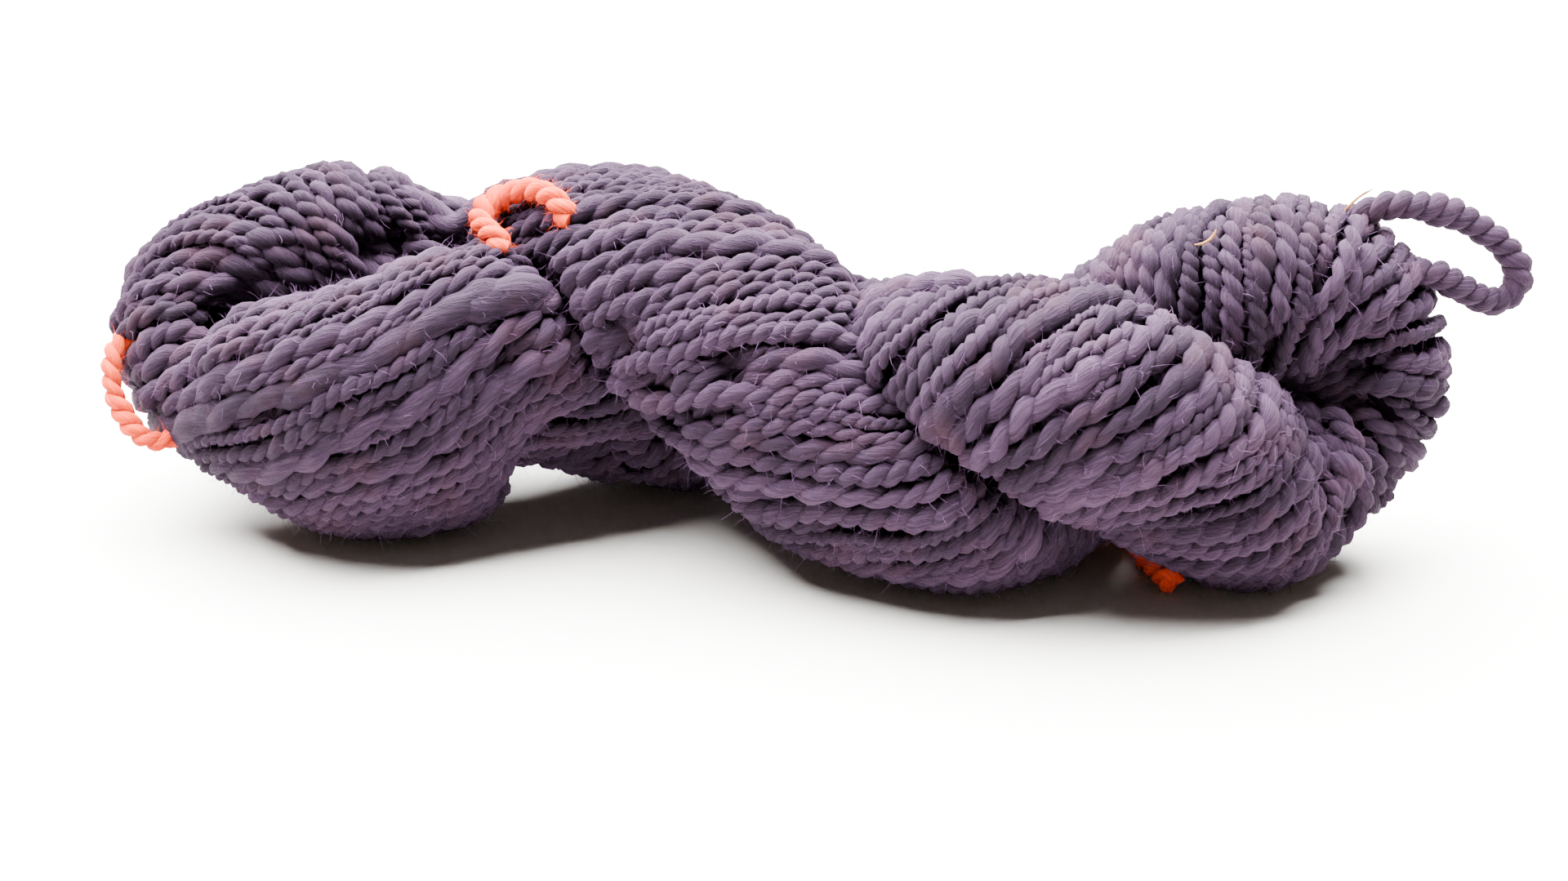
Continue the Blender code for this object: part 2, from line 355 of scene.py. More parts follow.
def wool(name, dark, middle, light, rosy, sheen, bump, shine=0.08):
    """Heathered wool, from its dark, middle and light fibres and a rosy tint."""
    material = bpy.data.materials.new(name)
    material.use_nodes = True
    graph = Graph(material.node_tree)
    shader = graph.tree.nodes["Principled BSDF"]
    fibre = graph.node("ShaderNodeAttribute", {"attribute_name": "fibre"}, out=1)
    tone = graph.node("ShaderNodeAttribute", {"attribute_name": "tone"}, out=2)
    place = graph.node("ShaderNodeTexCoord", out=3)

    def noise(vector, scale, detail=2.0, roughness=0.5):
        values = {"Vector": vector, "Scale": scale, "Detail": detail, "Roughness": roughness}
        return graph.node("ShaderNodeTexNoise", values=values)

    streak = noise(graph.vector("MULTIPLY", fibre, (0.7, 1.0, 1.0)), 1.5, 4.0, 0.65)
    fine = noise(fibre, 5.0, 3.0, 0.65)
    patch = noise(place, 38.0)
    shade = streak * 0.95 + fine * 0.5 + patch * 0.35 + tone * 0.3 - 0.55
    ground = graph.node(
        "ShaderNodeValToRGB", {"stops": [(0.25, dark), (0.5, middle), (0.8, light)]}, {"Fac": shade})
    rosy_patch = graph.math("MAXIMUM", (noise(place, 95.0) - 0.52) * 3.0, 0.0)
    tint = graph.math("SMOOTH_MIN", rosy_patch, 1.0, 0.1)
    color = graph.node(
        "ShaderNodeMix", {"data_type": "RGBA", "blend_type": "MIX"},
        {0: tint * 0.35, 6: ground, 7: (*rosy, 1.0)}, out=2,
    )
    height = streak * 0.6 + fine * 0.4
    relief = graph.node(
        "ShaderNodeBump", values={"Height": height, "Strength": bump, "Distance": RELIEF})
    graph.tree.links.new(color.socket, shader.inputs["Base Color"])
    graph.tree.links.new(relief.socket, shader.inputs["Normal"])
    shader.inputs["Roughness"].default_value = 0.9
    shader.inputs["Specular IOR Level"].default_value = shine
    shader.inputs["Sheen Weight"].default_value = sheen
    shader.inputs["Sheen Roughness"].default_value = 0.6
    shader.inputs["Sheen Tint"].default_value = (*(channel / max(light) for channel in light), 1.0)
    return material


purple_wool = wool(
    "purple_wool", (0.0042, 0.0019, 0.0049), (0.0122, 0.0060, 0.0138), (0.036, 0.0196, 0.0385),
    (0.042, 0.014, 0.017), sheen=0.03, bump=1.0)
# Painted light: the hairs are a lighter copy of the same wool, for the light caught in the fuzz.
purple_fuzz = wool(
    "purple_fuzz", (0.02, 0.009, 0.024), (0.045, 0.022, 0.052), (0.10, 0.056, 0.112),
    (0.11, 0.05, 0.06), sheen=0.03, bump=0.0)
# Painted shade: a near-black copy of the wool, without shine, for the shade deep inside the hank.
painted_shade_wool = wool(
    "deep_purple_wool", (0.0012, 0.0005, 0.0014), (0.0022, 0.001, 0.0026), (0.005, 0.0024, 0.0056),
    (0.004, 0.0014, 0.002), sheen=0.0, bump=0.8, shine=0.0)
orange_wool = wool(
    "orange_wool", (0.24, 0.010, 0.003), (0.48, 0.031, 0.008), (0.72, 0.078, 0.022),
    (0.76, 0.10, 0.032), sheen=0.02, bump=1.0)
print("made", ", ".join(m.name for m in (purple_wool, purple_fuzz, painted_shade_wool, orange_wool)))

# %% [markdown]
# ## The loose loop and the ties
#
# One loop of the hank's own yarn stands out at the right end, and three orange ties show: one over
# the saddle, one round the left end, and a cut end on the table. They are free cords: each follows
# its CAD solid to within a few millimetres, and is plied by the same tree.

# %% Routes of the free yarn, in millimetres
LOOSE_LOOP = [
    (103.1, -3.4, 65), (106.2, -3.8, 66.2), (109.6, -3.4, 66.3), (114, -2.2, 65.2), (119, -1.4, 63.8),
    (123.2, -1, 61.4), (127, -1, 58.8), (130.2, -1.4, 56), (132.2, -2, 52.8), (132.3, -2.8, 49.6),
    (129.9, -3.6, 47.5), (126, -4.4, 47.3), (122.7, -5.4, 49.2), (120, -6.2, 51.3),
    (117.6, -6.8, 52.8), (115.2, -7.4, 54.2),
]
TOP_TIE = [
    (-47.2, 4.8, 64), (-49.8, 7.8, 64.5), (-53.5, 11, 64), (-57.4, 12.8, 62.6), (-60.6, 12.2, 60.8),
    (-62.4, 9.4, 59.6), (-62.2, 5.8, 58.9), (-60.4, 2.8, 58.8), (-58.4, 0.6, 58.4),
]
LEFT_TIE = [
    (-132.3, 4.6, 35.4), (-132.9, 2.6, 33.4), (-133, 0, 31), (-132.4, -2.2, 28.4),
    (-131.2, -4.2, 25.9), (-129.4, -5.8, 23.5), (-127.2, -7.4, 21.6), (-124.7, -8.8, 20.4),
    (-122.2, -8.2, 20.3),
]
TIE_END = [
    (56, 2, 4.6), (57.5, -1.5, 3.8), (59, -5.8, 3.2), (60.3, -10, 3.0), (61.3, -14, 3.0),
    (62.4, -18.2, 3.0), (63.3, -22.8, 3.0), (64.6, -27.6, 3.0), (66.6, -33, 3.0),
]

# %% Lines and strands
YARN_STEP = 1.2  # millimetres between the points of a strand
Strand = namedtuple("Strand", "points outward beside half along wound plump tone")


def unit(vectors):
    return vectors / np.maximum(np.linalg.norm(vectors, axis=-1, keepdims=True), 1e-9)


def smooth_rows(rows, spacing):
    """Rows of numbers read at even spacing from the smooth curve through the given rows."""
    rows = np.array(rows, float)
    spans = np.sqrt(np.linalg.norm(np.diff(rows[:, :3], axis=0), axis=1))[:, None]
    slopes = np.diff(rows, axis=0) / spans
    inner = (slopes[:-1] * spans[1:] + slopes[1:] * spans[:-1]) / (spans[1:] + spans[:-1])
    tangents = np.vstack([slopes[:1], inner, slopes[-1:]])
    s = np.linspace(0.0, 1.0, 40, endpoint=False)[:, None]
    fine = [
        (2 * s**3 - 3 * s**2 + 1) * rows[i]
        + (s**3 - 2 * s**2 + s) * spans[i] * tangents[i]
        + (3 * s**2 - 2 * s**3) * rows[i + 1]
        + (s**3 - s**2) * spans[i] * tangents[i + 1]
        for i in range(len(rows) - 1)
    ]
    fine = np.vstack(fine + [rows[-1:]])
    along = np.append(0.0, np.cumsum(np.linalg.norm(np.diff(fine[:, :3], axis=0), axis=1)))
    wanted = np.linspace(0.0, along[-1], round(along[-1] / spacing) + 1)
    return np.column_stack([np.interp(wanted, along, column) for column in fine.T])


def strand_lines(name, strands):
    """The strands' middle lines in metres, as a mesh of bare edges with what the tree reads."""
    mesh = bpy.data.meshes.new(name)
    edges, first = [], 0
    for strand in strands:
        count = len(strand.points)
        edges += [(first + k, first + k + 1) for k in range(count - 1)]
        first += count
    mesh.from_pydata(np.vstack([s.points for s in strands]) * MM, edges, [])
    columns = {
        "half": [s.half * MM for s in strands],
        "along": [s.along * MM for s in strands],
        "wound": [s.wound * MM for s in strands],
        "plump": [s.plump for s in strands],
        "tone": [np.full(len(s.points), s.tone) for s in strands],
    }
    for key, values in columns.items():
        mesh.attributes.new(key, "FLOAT", "POINT").data.foreach_set("value", np.concatenate(values))
    for key in ("outward", "beside"):
        values = np.vstack([getattr(s, key) for s in strands]).ravel()
        mesh.attributes.new(key, "FLOAT_VECTOR", "POINT").data.foreach_set("vector", values)
    return mesh


def winding(half, usual, looseness):
    """How far a strand has wound, in millimetres: the twist gathers where it is thin."""
    return np.append(0.0, np.cumsum(YARN_STEP / looseness * (usual / half[1:]) ** 1.3))


BEND_PASSES = 24  # for the bends of a free route


def eased(points, passes):
    """The points, each inner one drawn towards its neighbours in every pass."""
    for _ in range(passes):
        points[1:-1] = 0.25 * (points[:-2] + 2 * points[1:-1] + points[2:])
    return points


def free_strand(route, diameter, tone):
    """A strand along a free route, with a sideways direction carried along it without spin."""
    points = eased(smooth_rows(route, 0.5 * YARN_STEP), BEND_PASSES)
    forward = unit(np.gradient(points, axis=0))
    outward = [np.cross(forward[0], (0.0, 0.0, 1.0))]
    for ahead in forward[1:]:
        outward.append(outward[-1] - ahead * (outward[-1] @ ahead))
    outward = unit(np.array(outward))
    along = np.arange(len(points)) * 0.5 * YARN_STEP
    swell = 0.06 * np.sin(along / 3.1 + tone) + 0.05 * np.sin(along / 1.7 + 2 * tone)
    half = 0.5 * diameter * (1.0 + swell)
    return Strand(points, outward, np.cross(outward, forward), half, along, along, 0 * half, tone)


# %% Make the four cords
YARN_DIAMETER = 5.0
TIE_DIAMETER = 3.8
Cord = namedtuple("Cord", "name before route after diameter plump turn material slot far_end tone")
CORDS = [
    Cord("yarn_loop", [(98.2, 0.4, 60.2), (100.6, -2, 63)], LOOSE_LOOP,
         [(112.3, -8, 55), (108.6, -8.4, 54.8)],
         YARN_DIAMETER, 1.04, 6.8, purple_wool, "purple_wool", "object", 0.8),
    Cord("tie_top", [(-44.9, 3.6, 60.4)], TOP_TIE, [(-57.2, -0.4, 56)],
         TIE_DIAMETER, 1.16, 7.0, orange_wool, "orange_wool", "object", 0.62),
    Cord("tie_left", [(-128.4, 9.6, 35)], LEFT_TIE, [(-119, -4.6, 21)],
         TIE_DIAMETER, 1.02, 6.6, orange_wool, "orange_wool", "object", 0.45),
    Cord("tie_end", [], TIE_END, [], TIE_DIAMETER, 1.24, 7.0, orange_wool, "orange_wool", "bare", 0.2),
]
PLIED = {"Turn length": 8.4 * MM, "Ply spread": 0.43, "Ply size": 0.63, "Unevenness": 1.0, "Sides": 7}
CORD_PLIED = {**PLIED, "Ply spread": 0.48, "Unevenness": 0.6, "Sides": 12}
FUZZY = {"Hair length": 3.4 * MM, "Hair thickness": 0.1 * MM, "Curl": 4.0 * MM}
CORD_FUZZY = {
    **FUZZY, "Hair length": 2.2 * MM, "Hair thickness": 0.06 * MM,
    "Hairs per square metre": 7e5, "Seed": 11,
}

for cord in CORDS:
    route = cord.before + cord.route + cord.after
    strand = free_strand(route, cord.diameter * cord.plump, cord.tone)
    piece = grow(plied_yarn, strand_lines(cord.name, [strand]), cord.name + "_wool",
                 {**CORD_PLIED, "Turn length": cord.turn * MM, "Material": cord.material})
    halo = grow(fuzz, piece.data.copy(), cord.name + "_fuzz",
                {**CORD_FUZZY, "Material": cord.material})
    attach(piece, "root")
    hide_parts(cord.name)
    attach(halo, "root")
    tuple(strand.points[0] * MM)
    cord.diameter * MM
    [tuple(point * MM) for point in strand.points]

# %% [markdown]
# ## The shape of the skein
#
# The whole skein is one closed ring, twisted and doubled. So the surface that the yarn lies on is
# one closed tube: out along the front-left half, round the right end, back along the other half,
# and round the left end. Each row gives a place on its middle line, its half-width, its
# half-thickness towards the other half, and how steeply the yarn slants there, on top and below.

# %% The rows of the closed tube, in millimetres and degrees
# x, y, z, half_width, half_thickness, slant on top, slant below
FRONT_LEFT_HALF = [
    (-116, 3, 25, 13, 12, 44, 36), (-106, -1, 26, 20, 17, 26, 26), (-89, -6, 25.5, 27, 20, 18, 20),
    (-74, -5, 27.5, 28, 20, 5, 12), (-62, 0, 33, 25, 19, 8, 26), (-48, 10, 26, 22, 18, 26, 44),
    (-36, 17, 19.5, 21, 18, 40, 50), (-21, 20, 18, 20, 18, 45, 45), (-5, 14, 27, 20, 17, 45, 45),
    (12, -4, 34, 21, 16, 58, 54), (27, -21, 41, 22, 17, 62, 54), (44, -31, 40, 22, 17, 64, 56),
    (62, -31, 32, 21, 18, 66, 54), (82, -22.5, 18, 20, 19, 74, 56), (94, -14, 21, 18, 16, 84, 68),
    (103, -10, 25, 14, 13, 90, 82),
]
RIGHT_TURN = [(107, -8, 33, 15, 12, 90, 90)]
BACK_LEFT_HALF = [
    (-121, 20, 38, 14, 13, -54, -54), (-110, 27, 39, 20, 17, -50, -50), (-91, 31.5, 40, 23, 18, -70, -66),
    (-76, 31, 37, 20, 16, -30, -50), (-65, 30, 37, 18, 14, -18, -14), (-51, 26, 43, 21, 17, 8, 16),
    (-38, 16, 48, 22, 18, 36, 40), (-22, -2, 46, 23, 18, 42, 45), (-7, -15, 38, 23, 18, 45, 45),
    (10, -25, 23, 23, 17, 47, 45), (27, -24, 16, 22, 17, 48, 46), (46, -7, 20, 21, 16, 54, 50),
    (65, 0, 37, 21, 18, 66, 60), (82, -5, 48, 22, 19, 76, 68), (98, -4, 47, 19, 17, 84, 78),
    (105, -6, 41, 15, 14, 88, 86),
]
LEFT_TURN = [(-123, 11, 31, 13, 11, -92, -92)]
LEFT_EYE = (-90, 14, 32)
RIGHT_EYE = (88, -8, 33)

# %% Read the ring of rows and its directions
TUBE_SPACING = 1.6  # between the rings of the tube
AROUND = 84  # places round the tube
EVENING_PASSES = 90
BEND_ROOM = 0.8  # of the bend's radius, which the inside of a bend may fill


def beside_rows(rows, others):
    """For each row, the point of the other half at the same x."""
    others = np.array(others)
    return [[np.interp(row[0], others[:, 0], others[:, k]) for k in range(3)] for row in rows]


towards = (
    beside_rows(FRONT_LEFT_HALF, BACK_LEFT_HALF) + [RIGHT_EYE]
    + beside_rows(BACK_LEFT_HALF, FRONT_LEFT_HALF)[::-1] + [LEFT_EYE]
)
ring_rows = np.array(FRONT_LEFT_HALF + RIGHT_TURN + BACK_LEFT_HALF[::-1] + LEFT_TURN, float)
# A slant and the same slant turned half way round are one line, so doubled angles are blended.
doubled = np.radians(2 * ring_rows[:, 5:7])
ring_rows = np.hstack([ring_rows[:, :5], np.cos(doubled), np.sin(doubled), np.array(towards, float)])


def closed_rows(rows, spacing):
    """Rows read at even spacing from a smooth closed curve; some are repeated past both ends."""
    lap = 4
    marks = np.arange(len(rows) + 2 * lap)[:, None]
    padded = np.hstack([np.vstack([rows[-lap:], rows, rows[:lap]]), marks])
    fine = smooth_rows(padded, 0.5)
    ring = fine[(fine[:, -1] >= lap) & (fine[:, -1] < lap + len(rows)), :-1]
    steps = np.linalg.norm(np.diff(np.vstack([ring, ring[:1]])[:, :3], axis=0), axis=1)
    along = np.append(0.0, np.cumsum(steps))
    wanted = np.linspace(0.0, along[-1], round(along[-1] / spacing), endpoint=False)
    ring = np.vstack([ring, ring[:1]])
    return np.column_stack([np.interp(wanted, along, column) for column in ring.T]), along[-1]


ring, ring_length = closed_rows(ring_rows, TUBE_SPACING)
RINGS = len(ring)
print(f"the skein's ring is {ring_length:.0f} mm long, in {RINGS} sections")


def evened(directions, passes):
    """Directions round the ring, each eased towards its neighbours."""
    for _ in range(passes):
        directions = unit(np.roll(directions, 1, 0) + 2 * directions + np.roll(directions, -1, 0))
    return directions


def around_ring(values):
    """The slope of values that go round the ring, per section."""
    return 0.5 * (np.roll(values, -1, 0) - np.roll(values, 1, 0))


centres = ring[:, :3]
forward = evened(unit(around_ring(centres)), EVENING_PASSES // 4)
inward = unit(ring[:, 9:12] - centres)
inward = evened(inward, EVENING_PASSES)
inward = unit(inward - (inward * forward).sum(1, keepdims=True) * forward)
across = np.cross(forward, inward)

# %% The tube's skin as a grid of places
turns = np.linspace(0.0, 2 * np.pi, AROUND, endpoint=False)
offsets = (
    np.cos(turns)[None, :, None] * (across * ring[:, 3:4])[:, None]
    + np.sin(turns)[None, :, None] * (inward * ring[:, 4:5])[:, None]
)
bends = around_ring(forward) / TUBE_SPACING
sharpness = np.maximum(np.linalg.norm(bends, axis=1), 1e-6)
to_centre = bends / sharpness[:, None]
depth = np.einsum("ijk,ik->ij", offsets, to_centre)
room = (BEND_ROOM / sharpness)[:, None]
kept = np.where(depth > 0.0, depth / (1.0 + (np.abs(depth) / room) ** 4) ** 0.25, depth)
offsets += (kept - depth)[:, :, None] * to_centre[:, None]
skin = centres[:, None] + offsets

slope_along = around_ring(skin) / TUBE_SPACING
slope_around = 0.5 * (np.roll(skin, -1, 1) - np.roll(skin, 1, 1))
normal = unit(np.cross(slope_along, slope_around))
normal *= np.sign((normal * offsets).sum(2, keepdims=True))
for _ in range(6):
    near = np.roll(normal, 1, 0) + np.roll(normal, -1, 0)
    near = near + np.roll(normal, 1, 1) + np.roll(normal, -1, 1)
    normal = unit(4 * normal + near)
print("skin from", skin.min((0, 1)).round(1), "to", skin.max((0, 1)).round(1))

# %% [markdown]
# ## Where the other half covers it
#
# Where the two halves press together nothing shows, so no yarn is needed. Each place on the skin is
# tested against every section of the ring that is well away from it along the ring.

# %% Depth below the other half's skin
NEAR_ALONG = 46.0  # sections nearer than this belong to the same stretch


def cover_depth(places, own):
    """How deep places lie inside far sections of the ring: negative where they are outside."""
    cover = np.full(len(places), -9.0)
    for k in range(0, RINGS, 2):
        apart = np.abs(own - k) % RINGS
        apart = np.minimum(apart, RINGS - apart) * TUBE_SPACING
        arm = places - centres[k]
        level = np.abs(arm @ forward[k])
        wide, thick = ring[k, 3], ring[k, 4]
        share = np.sqrt((arm @ across[k] / wide) ** 2 + (arm @ inward[k] / thick) ** 2)
        inside = (apart > NEAR_ALONG) & (level < 2.2 * TUBE_SPACING)
        cover = np.where(inside, np.maximum(cover, (1.0 - share) * min(wide, thick)), cover)
    return cover


owner = np.repeat(np.arange(RINGS), AROUND)
cover = cover_depth(skin.reshape(-1, 3), owner).reshape(RINGS, AROUND)
print(f"{(cover > 3).mean():.0%} of the skin is covered")

# %% [markdown]
# ## Which way the yarn runs
#
# The slant is the angle between the yarn and the middle line of its half. It comes from the rows,
# with a slow wander so that the turns are not ruler-straight. Each direction is then written as a
# step along the ring and a step round it, so that a strand can be traced on the grid.

# %% The yarn's direction everywhere on the skin
def wander(places, length, seed):
    """A smooth number between about -1 and 1 that changes over the given length."""
    rng = np.random.default_rng(seed)
    total = np.zeros(places.shape[:-1])
    for _ in range(5):
        wave = rng.normal(size=3) * 2.2 / length
        total += np.sin(places @ wave + rng.uniform(0.0, 2 * pi))
    return total / 2.5


def steps_on_grid(direction):
    """The steps along and round the grid that move a place one millimetre in a direction."""
    aa, rr = (slope_along**2).sum(2), (slope_around**2).sum(2)
    ar = (slope_along * slope_around).sum(2)
    da, dr = (slope_along * direction).sum(2), (slope_around * direction).sum(2)
    area = np.maximum(aa * rr - ar**2, 1e-3 * aa * rr + 1e-6)
    along_step, around_step = (rr * da - ar * dr) / area, (aa * dr - ar * da) / area
    limit = np.minimum(1.0, 3.0 / np.maximum(np.hypot(along_step, around_step), 1e-6))
    return np.stack([along_step * limit / TUBE_SPACING, around_step * limit], 2)


SLANT_WANDER = 9.0
top_share = np.clip(0.5 + 1.1 * (normal[:, :, 2] - 0.15), 0.0, 1.0)
low_share = 1.0 - top_share
slant = 0.5 * np.arctan2(
    ring[:, 7, None] * top_share + ring[:, 8, None] * low_share,
    ring[:, 5, None] * top_share + ring[:, 6, None] * low_share,
)
slant += np.radians(SLANT_WANDER * wander(skin, 30.0, 4))
heading = unit(forward[:, None] - (forward[:, None] * normal).sum(2, keepdims=True) * normal)
aside = np.cross(normal, heading)
yarn_way = np.cos(slant)[:, :, None] * heading + np.sin(slant)[:, :, None] * aside
cross_way = np.cross(normal, yarn_way)
fields = np.concatenate(
    [skin, normal, cover[:, :, None], steps_on_grid(yarn_way), steps_on_grid(cross_way)], 2
)
# The columns of the fields
PLACE, OUTWARD, COVER = slice(0, 3), slice(3, 6), 6
YARN_WAY, CROSS_WAY, BOTH_WAYS = slice(7, 9), slice(9, 11), slice(7, 11)
low, high = np.degrees([slant.min(), slant.max()])
print(f"the yarn slants from {low:.0f} to {high:.0f} degrees")

# %% [markdown]
# ## Tracing the strands
#
# A strand starts at a seed, and follows the yarn's direction both ways until it is covered, or comes
# too near another strand. Each finished strand offers new seeds a yarn's width to its left and
# right, so the skin fills with evenly spaced strands that keep each other company.

# %% Read the grid anywhere, and find neighbours
def read_grid(place):
    """All the fields at a place on the grid, from the four nearest grid points.

    The yarn's way has no front or back, so the four ways are turned to agree before they are mixed.
    """
    i, j = floor(place[0]), floor(place[1])
    u, v = place[0] - i, place[1] - j
    i0, i1, j0, j1 = i % RINGS, (i + 1) % RINGS, j % AROUND, (j + 1) % AROUND
    corners = fields[(i0, i0, i1, i1), (j0, j1, j0, j1)]
    agree = np.where(corners[:, YARN_WAY] @ corners[0, YARN_WAY] < 0.0, -1.0, 1.0)
    corners[:, BOTH_WAYS] *= agree[:, None]
    return ((1 - u) * (1 - v), (1 - u) * v, u * (1 - v), u * v) @ corners


class Crowd:
    """The points of the finished strands, sorted into cells for a quick search."""

    def __init__(self, cell):
        self.cell, self.cells = cell, defaultdict(list)

    def key(self, point):
        return tuple(floor(x / self.cell) for x in point)

    def add(self, point, section, half):
        self.cells[self.key(point)].append((*point, section, half))

    def room(self, point, section, half):
        """The nearest distance to a strand of the same stretch, as a share of both half-widths."""
        x, y, z = point
        i, j, k = self.key(point)
        best = 1e9
        for a in (i - 1, i, i + 1):
            for b in (j - 1, j, j + 1):
                for c in (k - 1, k, k + 1):
                    for px, py, pz, other, size in self.cells.get((a, b, c), ()):
                        apart = abs(other - section) % RINGS
                        if min(apart, RINGS - apart) * TUBE_SPACING < NEAR_ALONG:
                            gap = (px - x) ** 2 + (py - y) ** 2 + (pz - z) ** 2
                            best = min(best, gap / (size + half) ** 2)
        return best**0.5


# %% Trace and fill
HIDDEN = 3.0  # millimetres under the other half where a strand may stop
SHORTEST = 10.0
LONGEST = 190.0
SQUEEZED = 0.62  # of the usual distance, where a strand stops


def onward(step, last):
    """The step, turned to go on the way that the last one went."""
    return step if step @ last > 0.0 else -step


def trace(seed, crowd, half, turned):
    """The grid places of a strand through a seed, traced both ways."""
    halves, own = [], []
    for way in (1.0, -1.0):
        place, line = np.array(seed, float), []
        step = way * turned(read_grid(place))
        while len(line) * YARN_STEP < LONGEST / 2:
            here = read_grid(place)
            point = here[PLACE]
            if here[COVER] > HIDDEN or crowd.room(point, place[0], half) < SQUEEZED:
                break
            older = own[: -int(4.0 * half / YARN_STEP)] if way > 0 else []
            nearest = np.linalg.norm(np.array(older) - point, axis=1).min() if older else LONGEST
            if nearest < 2 * half * SQUEEZED:
                break
            line.append(place.copy())
            own.append(point)
            step = onward(turned(here), step)
            step = onward(turned(read_grid(place + 0.5 * YARN_STEP * step)), step)
            place = place + YARN_STEP * step
        halves.append(line)
    return np.array(halves[1][:0:-1] + halves[0])


# %% Fill the skin
def fill(crowd, first_seeds, usual_half, packing, angle, seed):
    """Strands side by side wherever the skin shows and the crowd leaves room.

    Each is its grid places and its half-width.
    """
    rng = np.random.default_rng(seed)

    def turned(here):
        return cos(angle) * here[YARN_WAY] + sin(angle) * here[CROSS_WAY]

    def sideways(here):
        return -sin(angle) * here[YARN_WAY] + cos(angle) * here[CROSS_WAY]

    def new_half():
        return usual_half * float(np.clip(1.0 + 0.17 * rng.normal(), 0.68, 1.4))

    found = []
    grid = [(i, j) for i in range(0, RINGS, 2) for j in range(0, AROUND, 3)]
    rng.shuffle(grid)
    waiting = [(np.array(place, float), half) for place, half in first_seeds]
    while waiting or grid:
        start, half = waiting.pop(0) if waiting else (np.array(grid.pop(), float), usual_half * 0.8)
        here = read_grid(start)
        if here[COVER] > HIDDEN or crowd.room(here[PLACE], start[0], half) < 0.95 * packing:
            continue
        line = trace(start, crowd, half, turned)
        if len(line) * YARN_STEP < SHORTEST:
            continue
        found.append((line, half))
        read = [read_grid(place) for place in line]
        for place, values in zip(line, read):
            crowd.add(values[PLACE], place[0], half)
        for side in (1.0, -1.0):
            fresh = new_half()
            for k in range(2, len(line), 4):
                waiting.append((line[k] + side * (half + fresh) * packing * sideways(read[k]), fresh))
    return found


def grid_place(x, y, z):
    """The grid place nearest to a point, in millimetres."""
    gap = np.linalg.norm(skin - np.array((x, y, z)), axis=2) + 50.0 * (cover > 0)
    return np.unravel_index(np.argmin(gap), gap.shape)


# %% Lay the strands on top, in the gaps and below
HALF_SIZE = 2.2  # half the usual yarn's width
CELL = 6.0
OUTER_PACKING, GAP_PACKING, INNER_PACKING = 0.79, 0.66, 1.05  # of the two half-widths
INNER_ANGLE = 0.4  # radians from the outer yarn's way
SLUB_HALF = 1.6 * HALF_SIZE  # for the thick strand over the front left
SEEDS = [
    (grid_place(-85, -20, 41), SLUB_HALF), (grid_place(10, -46, 30), HALF_SIZE),
    (grid_place(45, -48, 42), HALF_SIZE), (grid_place(75, -25, 60), HALF_SIZE),
]
outer_crowd = Crowd(CELL)
outer_lines = fill(outer_crowd, SEEDS, HALF_SIZE, OUTER_PACKING, 0.0, seed=21)
gap_lines = fill(outer_crowd, [], 0.75 * HALF_SIZE, GAP_PACKING, 0.0, seed=23)
inner_lines = fill(Crowd(CELL), [], HALF_SIZE, INNER_PACKING, INNER_ANGLE, seed=22)
for label, lines in (("on top", outer_lines), ("in the gaps", gap_lines), ("below", inner_lines)):
    metres = sum(len(line) for line, _ in lines) * YARN_STEP * MM
    print(f"{len(lines)} strands {label}, {metres:.1f} m of yarn")

# %% [markdown]
# ## From lines to yarn
#
# Handspun yarn is thick and thin, so each strand gets its own thickness, which also swells and
# shrinks along it. A strand lies just under the skin, some a little proud and some a little deep,
# and its ends dip between their neighbours. Nothing goes below the table.

# %% Give the strands their thickness and depth
END_DIP = 4.5
END_LENGTH = 9.0
GAP_SINK = 0.7  # how much deeper the strands in the gaps lie
INNER_SINK = 3.4


def yarn_strand(line, size, rng, sink):
    """A strand from its places on the grid, thick and thin, and sunk below the skin."""
    values = np.array([read_grid(place) for place in line])
    points, outward = values[:, PLACE], unit(values[:, OUTWARD])
    along = np.arange(len(line)) * YARN_STEP
    phases = rng.uniform(0.0, 2 * pi, 4)
    swell = 0.45 * np.sin(along / 5.5 + phases[0]) + 0.55 * np.sin(along / 15.0 + phases[1])
    half = size * (1.0 + 0.2 * swell)
    plump = np.clip((half / HALF_SIZE - 1.05) * 1.8, 0.0, 1.0)
    drift = 0.5 * np.sin(along / 13.0 + phases[2]) + 0.5 * rng.normal()
    sway = 0.3 * np.sin(along / 2.9 + phases[3]) + 0.45 * np.sin(along / 6.1 + 2 * phases[0])
    ends = np.minimum(along, along[-1] - along)
    dip = END_DIP * np.clip(1.0 - ends / END_LENGTH, 0.0, 1.0) ** 2
    beside = np.cross(outward, unit(np.gradient(points, axis=0)))
    deep = 0.8 * half + sink + dip - 0.55 * drift
    points = points - outward * deep[:, None] + beside * sway[:, None]
    points[:, 2] = np.maximum(points[:, 2], half * 1.02)
    points = eased(points, 3)
    ahead = unit(np.gradient(points, axis=0))
    outward = unit(outward - (outward * ahead).sum(1, keepdims=True) * ahead)
    x, y, z = points.mean(0)
    looseness = rng.uniform(0.78, 1.45)
    if x < -45 and y < 6 and z > 24:  # the softly spun turns over the front left
        looseness *= 1.25
    wound = winding(half, HALF_SIZE, looseness)
    return Strand(points, outward, np.cross(outward, ahead), half, along, wound, plump, rng.uniform())


rng = np.random.default_rng(7)
outer = [yarn_strand(line, half, rng, 0.0) for line, half in outer_lines]
outer += [yarn_strand(line, half, rng, GAP_SINK) for line, half in gap_lines]
inner = [yarn_strand(line[::2], half, rng, INNER_SINK) for line, half in inner_lines]
halves = np.concatenate([strand.half for strand in outer])
print(f"the outer yarn is {2 * halves.min():.1f} to {2 * halves.max():.1f} mm thick")

# %% [markdown]
# ## The deep turns, and the pieces
#
# In the eye of the right turn the lowest turns fan out from the crease, so eight free strands cross
# it. Then the strands are sorted by place into three pieces, because a smaller piece is easier to
# handle, and the deeper layer, which barely shows, is one piece with fewer sides.

